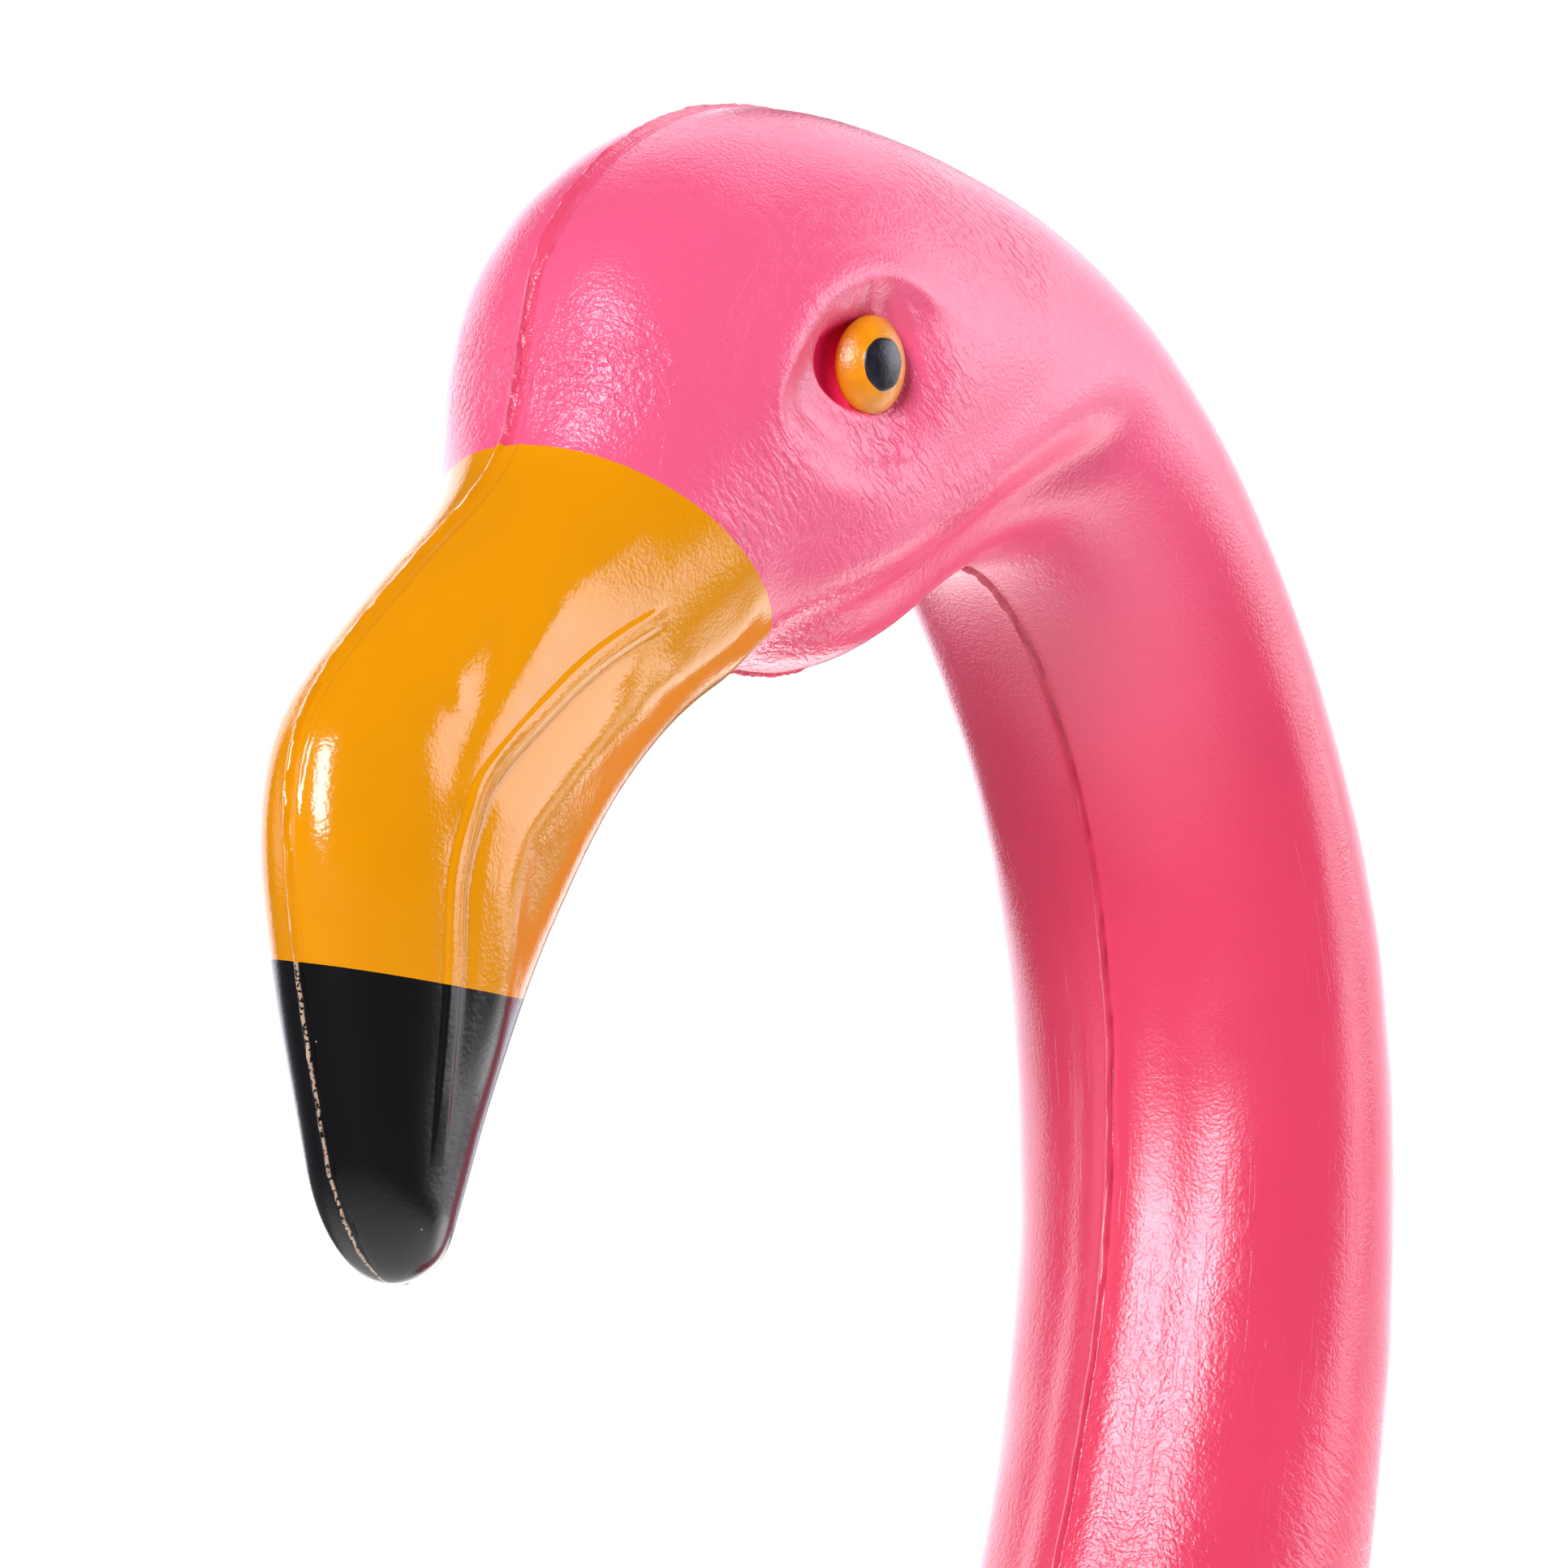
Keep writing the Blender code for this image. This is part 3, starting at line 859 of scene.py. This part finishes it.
def hairline_group():
    """Fine scratches that all run one way: long thin parts of a stretched noise."""
    recipe, start, end = effect_group(
        "hairlines",
        (("Coordinates", None), ("Across", 2500.0), ("Along", 90.0), ("Rarity", 0.66)),
        "Mask",
    )
    parts = recipe.node("ShaderNodeSeparateXYZ", {0: start["Coordinates"]}).outputs
    x = recipe.times(parts[0], start["Across"])
    y = recipe.times(parts[1], start["Along"])
    z = recipe.times(parts[2], start["Along"])
    place = recipe.node("ShaderNodeCombineXYZ", {0: x, 1: y, 2: z}).outputs[0]
    lines = recipe.noise(place, 1.0, 1.0)
    top = recipe.plus(start["Rarity"], 0.07)
    mask = recipe.band(lines, start["Rarity"], top)
    recipe.give(end.inputs[0], mask)
    return recipe.tree


def speck_group():
    """Dust specks: a round dot in some of the cells of a scattered pattern."""
    recipe, start, end = effect_group(
        "specks",
        (("Coordinates", None), ("Cells", 300.0), ("Size", 0.06), ("Rarity", 0.8)),
        "Mask",
    )
    inputs = {"Vector": start["Coordinates"], "Scale": start["Cells"]}
    cells = recipe.node("ShaderNodeTexVoronoi", inputs).outputs
    inside = recipe.math("LESS_THAN", cells["Distance"], start["Size"])
    chosen = recipe.math("GREATER_THAN", cells["Color"], start["Rarity"])
    mask = recipe.times(inside, chosen)
    recipe.give(end.inputs[0], mask)
    return recipe.tree


EFFECTS = {
    "leathery_grain": grain_group,
    "wrinkles": wrinkle_group,
    "hairlines": hairline_group,
    "specks": speck_group,
}


class Finish(Recipe):
    """A named material whose principled shader is fed by the recipe's steps."""

    def __init__(self, name):
        self.material = bpy.data.materials.new(name)
        self.material.use_nodes = True
        super().__init__(self.material.node_tree)
        self.shader = self.tree.nodes["Principled BSDF"]
        self.place = self.node("ShaderNodeTexCoord").outputs["Object"]

    def effect(self, name, **inputs):
        """A shared effect, on the object's coordinates unless others are given."""
        group = bpy.data.node_groups.get(name) or EFFECTS[name]()
        node = self.node("ShaderNodeGroup", node_tree=group)
        for title, value in {"coordinates": self.place, **inputs}.items():
            self.give(node.inputs[title.capitalize()], value)
        return node.outputs[0]

    def mottled(self, colour, scale, second, first=1.0, detail=2.0, low=0.3, high=0.7):
        """A colour that wanders between two shades, given as factors of itself."""
        mask = self.band(self.noise(self.place, scale, detail), low, high)
        return self.blend(mask, opaque(colour, first), opaque(colour, second))

    def feed(self, **sockets):
        """Sets the shader's sockets, named in plain words."""
        for name, value in sockets.items():
            self.give(self.shader.inputs[name.replace("_", " ").title()], value)

    def bump(self, height, depth):
        """Turns a height of 0 to 1 into the shader's normal, with a depth in metres."""
        inputs = {"Height": height, "Distance": depth, "Strength": 1.0}
        node = self.node("ShaderNodeBump", inputs)
        self.tree.links.new(node.outputs[0], self.shader.inputs["Normal"])


def opaque(colour, factor=1.0):
    """A colour without transparency, darker or lighter by a factor."""
    return (*(min(1.0, part * factor) for part in colour), 1.0)


def pink_plastic(colours):
    """Moulded pink plastic: grained all over, and creased like leather in patches.

    The heights of its bump are in mm.
    """
    finish = Finish("pink_plastic")
    uv = finish.node("ShaderNodeUVMap", uv_map="along_form").outputs[0]
    parts = finish.node("ShaderNodeSeparateXYZ", {0: finish.place}).outputs
    on_head = finish.band(parts[2], 0.165, 0.19)
    low_neck = finish.band(parts[2], 0.135, 0.10, 0.0, 0.3)
    strong = finish.math("MAXIMUM", on_head, low_neck)
    grains = finish.effect("leathery_grain", cells=2100.0, fine=0.7)
    depth = finish.plus(0.018, finish.times(strong, 0.03))
    height = finish.times(grains, depth)
    folds = finish.effect("wrinkles", folds=1250.0)
    depth = finish.times(finish.attribute("leather"), 0.20)
    height = finish.plus(height, finish.times(folds, depth))
    scratches = finish.effect("hairlines", coordinates=uv, across=2200.0, along=60.0, rarity=0.64)
    height = finish.minus(height, finish.times(scratches, 0.012))
    strokes = finish.effect("hairlines", coordinates=uv, across=110.0, along=1700.0, rarity=0.56)
    strokes = finish.times(strokes, finish.attribute("strokes"))
    height = finish.minus(height, finish.times(strokes, 0.06))
    finish.bump(height, MM)
    seam = finish.minus(finish.attribute("from_seam"), 0.6)
    band = finish.times(finish.band(finish.math("ABSOLUTE", seam), 1.0, 0.6), 0.6)
    colour = finish.mottled(colours.pink, 60.0, 0.95)
    # Painted light and sheen: the pink turns paler and bluer over the head and its front, and
    # stays darker on the neck as painted shade.
    head_painted_light = finish.band(parts[2], 0.15, 0.19)
    head_painted_light = finish.times(head_painted_light, finish.band(parts[1], 0.03, -0.01))
    colour = finish.blend(head_painted_light, colour, opaque(colours.lit_head_pink))
    colour = finish.blend(band, colour, opaque(colours.seam_pink))
    # Partly painted shade and partly dirt: a broken dark line in the groove beside the seam.
    colour = finish.blend(finish.attribute("seam_shade_and_dirt"), colour, opaque(colours.groove_shade_and_dirt))
    # Painted shade: the deep pink fills the sockets, where shade and bounced pink light fall.
    colour = finish.blend(finish.attribute("socket"), colour, opaque(colours.socket_shade_pink))
    rough = finish.band(finish.noise(finish.place, 130.0, 2.0), 0.3, 0.7, 0.19, 0.25)
    rough = finish.math("MAXIMUM", rough, finish.attribute("socket"))
    finish.feed(base_color=colour, roughness=rough)
    return finish.material


def orange_paint(colours):
    """Thick glossy orange paint with a slight grain."""
    finish = Finish("orange_paint")
    leather = finish.effect("leathery_grain", cells=1900.0, fine=0.6)
    waves = finish.noise(finish.place, 420.0, 1.0)
    height = finish.plus(finish.times(leather, 0.7), waves)
    finish.bump(height, 0.025 * MM)
    colour = finish.mottled(colours.orange, 70.0, 0.95)
    dust = finish.times(finish.effect("specks", cells=240.0, size=0.05, rarity=0.88), 0.5)
    colour = finish.blend(dust, colour, opaque(colours.brown_dust))
    finish.feed(base_color=colour, roughness=0.12)
    return finish.material


def black_paint(colours):
    """Satin black paint, chipped along the seam and dusted with pale specks."""
    finish = Finish("black_paint")
    leather = finish.effect("leathery_grain", cells=1500.0, fine=0.5)
    finish.bump(leather, 0.01 * MM)
    ridge = finish.band(finish.math("ABSOLUTE", finish.attribute("from_seam")), 0.25, 0.12)
    chips = finish.band(finish.noise(finish.place, 2300.0, 2.0), 0.42, 0.50)
    chips = finish.times(chips, ridge)
    dust = finish.effect("specks", cells=800.0, size=0.075, rarity=0.86)
    colour = finish.blend(dust, opaque(colours.black), opaque(colours.pale_dust))
    colour = finish.blend(chips, colour, opaque(colours.chipped))
    finish.feed(base_color=colour, roughness=0.21)
    return finish.material


def amber_paint(colours):
    """Amber paint of the eyes, a little darker here and there."""
    finish = Finish("amber_paint")
    leather = finish.effect("leathery_grain", cells=2200.0, fine=0.6)
    finish.bump(leather, 0.04 * MM)
    colour = finish.mottled(colours.amber, 500.0, 0.88, low=0.35, high=0.65)
    finish.feed(base_color=colour, roughness=0.26)
    return finish.material


def pupil_paint(colours):
    """Dull, mottled dark paint of the pupils."""
    finish = Finish("pupil_paint")
    leather = finish.effect("leathery_grain", cells=2600.0, fine=0.8)
    finish.bump(leather, 0.02 * MM)
    colour = finish.mottled(colours.pupil, 900.0, 1.8, 0.6, detail=3.0, low=0.35)
    finish.feed(base_color=colour, roughness=0.33)
    return finish.material


def cut_plastic(colours):
    """The flat cut underneath: dull pink with the marks of the saw."""
    finish = Finish("cut_plastic")
    marks = finish.effect("hairlines", across=900.0, along=30.0, rarity=0.5)
    finish.bump(marks, 0.05 * MM)
    colour = finish.blend(marks, opaque(colours.pink), opaque(colours.pink, 0.85))
    finish.feed(base_color=colour, roughness=0.6)
    return finish.material


def floor_paint(studio):
    """A pale floor that turns white with distance and lights the bust from below."""
    finish = Finish("pale_floor")
    away = finish.vector("LENGTH", finish.place)["Value"]
    far = finish.band(away, 0.3, 1.1)
    near = finish.band(away, 0.34, 0.08)
    tint = finish.band(finish.noise(finish.place, 3.0, 2.0), 0.3, 0.7)
    colour = finish.blend(tint, (0.86, 0.86, 0.86, 1), (0.84, 0.84, 0.84, 1))
    colour = finish.blend(far, colour, (0.0, 0.0, 0.0, 1))
    seen = finish.node("ShaderNodeLightPath").outputs["Is Camera Ray"]
    colour = finish.blend(seen, (0.12, 0.12, 0.12, 1), colour)
    glow = finish.times(near, 1.25)
    for shift, factors, brightness in TABLE_PATCHES:
        moved = finish.vector("ADD", finish.place, shift)[0]
        spread = finish.vector("MULTIPLY", moved, factors)[0]
        patch = finish.band(finish.vector("LENGTH", spread)["Value"], 1.15, 0.75)
        glow = finish.plus(glow, finish.times(patch, brightness))
    glow = finish.times(glow, studio.table_glow)
    shown = finish.plus(0.4, finish.times(far, 0.6))
    light = finish.blend(seen, glow, shown)
    finish.feed(base_color=colour, roughness=0.7, emission_color=light, emission_strength=1.0)
    finish.shader.inputs["Specular IOR Level"].default_value = 0.0
    return finish.material


class FLAMINGO_OT_make_skin(bpy.types.Operator):
    """Wraps the fine skin on the form and paints its bill"""

    bl_idname = "flamingo.make_skin"
    bl_label = "Make Skin"

    def execute(self, context):
        colours = context.scene.flamingo_colours
        points, marks = skin_grid(context.scene.flamingo_skin)
        finishes = [paint(colours) for paint in (pink_plastic, orange_paint, black_paint)]
        bm = wrap_skin(points, marks)
        skin = new_piece("flamingo_skin", bm, finishes + [cut_plastic(colours)])
        skin.data.set_sharp_from_angle(angle=radians(SHARP_ANGLE))
        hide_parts("flamingo_bust")
        return {"FINISHED"}


class FLAMINGO_OT_make_eyes(bpy.types.Operator):
    """Sets a painted dome in each socket of the skin"""

    bl_idname = "flamingo.make_eyes"
    bl_label = "Make Eyes"

    def execute(self, context):
        skin = bpy.data.objects.get("flamingo_skin")
        if skin is None:
            raise RuntimeError("make the skin first, because the eyes stand in its sockets")
        colours = context.scene.flamingo_colours
        sizes = context.scene.flamingo_eyes
        finishes = [amber_paint(colours), pupil_paint(colours)]
        tree = BVHTree.FromObject(skin, context.evaluated_depsgraph_get())
        deep = ((sizes.diameter / 2) ** 2 - sizes.bulge**2) / (2 * sizes.bulge)
        for name, side in (("left_eye", 1), ("right_eye", -1)):
            start = Vector((side * 0.05, -share(EYE_CENTRE[0]), share(EYE_CENTRE[1])))
            floor = tree.ray_cast(start, Vector((-side, 0, 0)))[0]
            if floor is None:
                raise RuntimeError(f"the {name} finds no socket in the skin")
            bm = eye_dome(sizes)
            middle = floor + Vector((side * (sizes.stand - deep), 0, 0))
            turn = Matrix.Rotation(-side * sizes.turn, 4, "Z")
            turn = turn @ Matrix.Rotation(side * (pi / 2 + sizes.droop), 4, "Y")
            place = Matrix.Translation(middle) @ turn @ Matrix.Translation((0, 0, deep))
            bmesh.ops.transform(bm, matrix=place, verts=bm.verts[:])
            new_piece(name, bm, finishes)
        return {"FINISHED"}


def toward(azimuth, elevation):
    """A direction from the object, with azimuth 0 at its front and 90 at its left."""
    a, e = radians(azimuth), radians(elevation)
    return Vector((sin(a) * cos(e), -cos(a) * cos(e), sin(e)))


def aim(thing, place, target):
    """Puts a camera or lamp at a place and turns it to a target."""
    thing.location = place
    thing.rotation_euler = (target - place).to_track_quat("-Z", "Y").to_euler()


class FLAMINGO_OT_set_stage(bpy.types.Operator):
    """Lays the floor, hangs the soft lamps and places the camera"""

    bl_idname = "flamingo.set_stage"
    bl_label = "Set Stage"

    def execute(self, context):
        studio = context.scene.flamingo_studio
        target = Vector(CAMERA_TARGET)
        self.lay_floor(studio)
        for name, azimuth, elevation, roll, distance, width, height, brightness in LIGHTS:
            lamp = bpy.data.lights.new(name, "AREA")
            lamp.shape = "RECTANGLE"
            lamp.color = LAMP_COLOUR
            lamp.size = width
            lamp.size_y = height
            lamp.energy = brightness * studio.light_scale * pi * width * height
            holder = bpy.data.objects.new(name, lamp)
            holder.visible_camera = False
            context.scene.collection.objects.link(holder)
            aim(holder, target + toward(azimuth, elevation) * distance, target)
            holder.rotation_euler.rotate_axis("Z", radians(roll))
        lens = bpy.data.cameras.new("camera")
        lens.lens = CAMERA_LENS
        lens.clip_end = 100
        camera = bpy.data.objects.new("camera", lens)
        context.scene.collection.objects.link(camera)
        direction = toward(CAMERA_AZIMUTH, CAMERA_ELEVATION)
        aim(camera, target + direction * CAMERA_DISTANCE, target)
        context.scene.camera = camera
        context.scene.view_settings.view_transform = "Standard"
        self.light_room(context, studio)
        return {"FINISHED"}

    def lay_floor(self, studio):
        """A disc under the bust."""
        bm = bmesh.new()
        bmesh.ops.create_circle(bm, cap_ends=True, segments=128, radius=studio.floor_radius)
        mesh = bpy.data.meshes.new("floor")
        bm.to_mesh(mesh)
        bm.free()
        mesh.materials.append(floor_paint(studio))
        floor = bpy.data.objects.new("floor", mesh)
        bpy.context.scene.collection.objects.link(floor)

    def light_room(self, context, studio):
        """A white backdrop for the camera and a dim, even light for the object."""
        world = bpy.data.worlds.new("studio")
        world.use_nodes = True
        context.scene.world = world
        room = Recipe(world.node_tree)
        room.tree.nodes.clear()
        white = (1, 1, 1, 1)
        seen = room.node("ShaderNodeBackground", {"Color": white, "Strength": 1.0})
        felt = room.node("ShaderNodeBackground", {"Color": white, "Strength": studio.surroundings})
        path = room.node("ShaderNodeLightPath").outputs["Is Camera Ray"]
        inputs = {0: path, 1: felt.outputs[0], 2: seen.outputs[0]}
        both = room.node("ShaderNodeMixShader", inputs)
        room.node("ShaderNodeOutputWorld", {"Surface": both.outputs[0]})


class FLAMINGO_PT_panel(bpy.types.Panel):
    bl_idname = "FLAMINGO_PT_panel"
    bl_label = "Flamingo Bust"
    bl_space_type = "VIEW_3D"
    bl_region_type = "UI"
    bl_category = "Flamingo"

    def draw(self, context):
        scene = context.scene
        for title, group, operator in (
            ("Skin", scene.flamingo_skin, "flamingo.make_skin"),
            ("Eyes", scene.flamingo_eyes, "flamingo.make_eyes"),
            ("Colours", scene.flamingo_colours, None),
            ("Studio", scene.flamingo_studio, "flamingo.set_stage"),
        ):
            box = self.layout.box()
            box.label(text=title)
            for name in group.bl_rna.properties.keys():
                if name not in ("rna_type", "name"):
                    box.prop(group, name)
            if operator:
                box.operator(operator)


GROUPS = (
    ("flamingo_skin", FlamingoSkinSizes),
    ("flamingo_eyes", FlamingoEyeSizes),
    ("flamingo_colours", FlamingoColours),
    ("flamingo_studio", FlamingoStudio),
)
CLASSES = (
    FLAMINGO_OT_make_skin,
    FLAMINGO_OT_make_eyes,
    FLAMINGO_OT_set_stage,
    FLAMINGO_PT_panel,
)


def register():
    for name, group in GROUPS:
        bpy.utils.register_class(group)
        setattr(bpy.types.Scene, name, bpy.props.PointerProperty(type=group))
    for kind in CLASSES:
        bpy.utils.register_class(kind)


def unregister():
    for kind in reversed(CLASSES):
        bpy.utils.unregister_class(kind)
    for name, group in reversed(GROUPS):
        delattr(bpy.types.Scene, name)
        bpy.utils.unregister_class(group)


def main():
    """Makes the bust and its stage."""
    register()
    bpy.ops.flamingo.make_skin()
    bpy.ops.flamingo.make_eyes()
    bpy.ops.flamingo.set_stage()


if __name__ == "__main__":
    main()
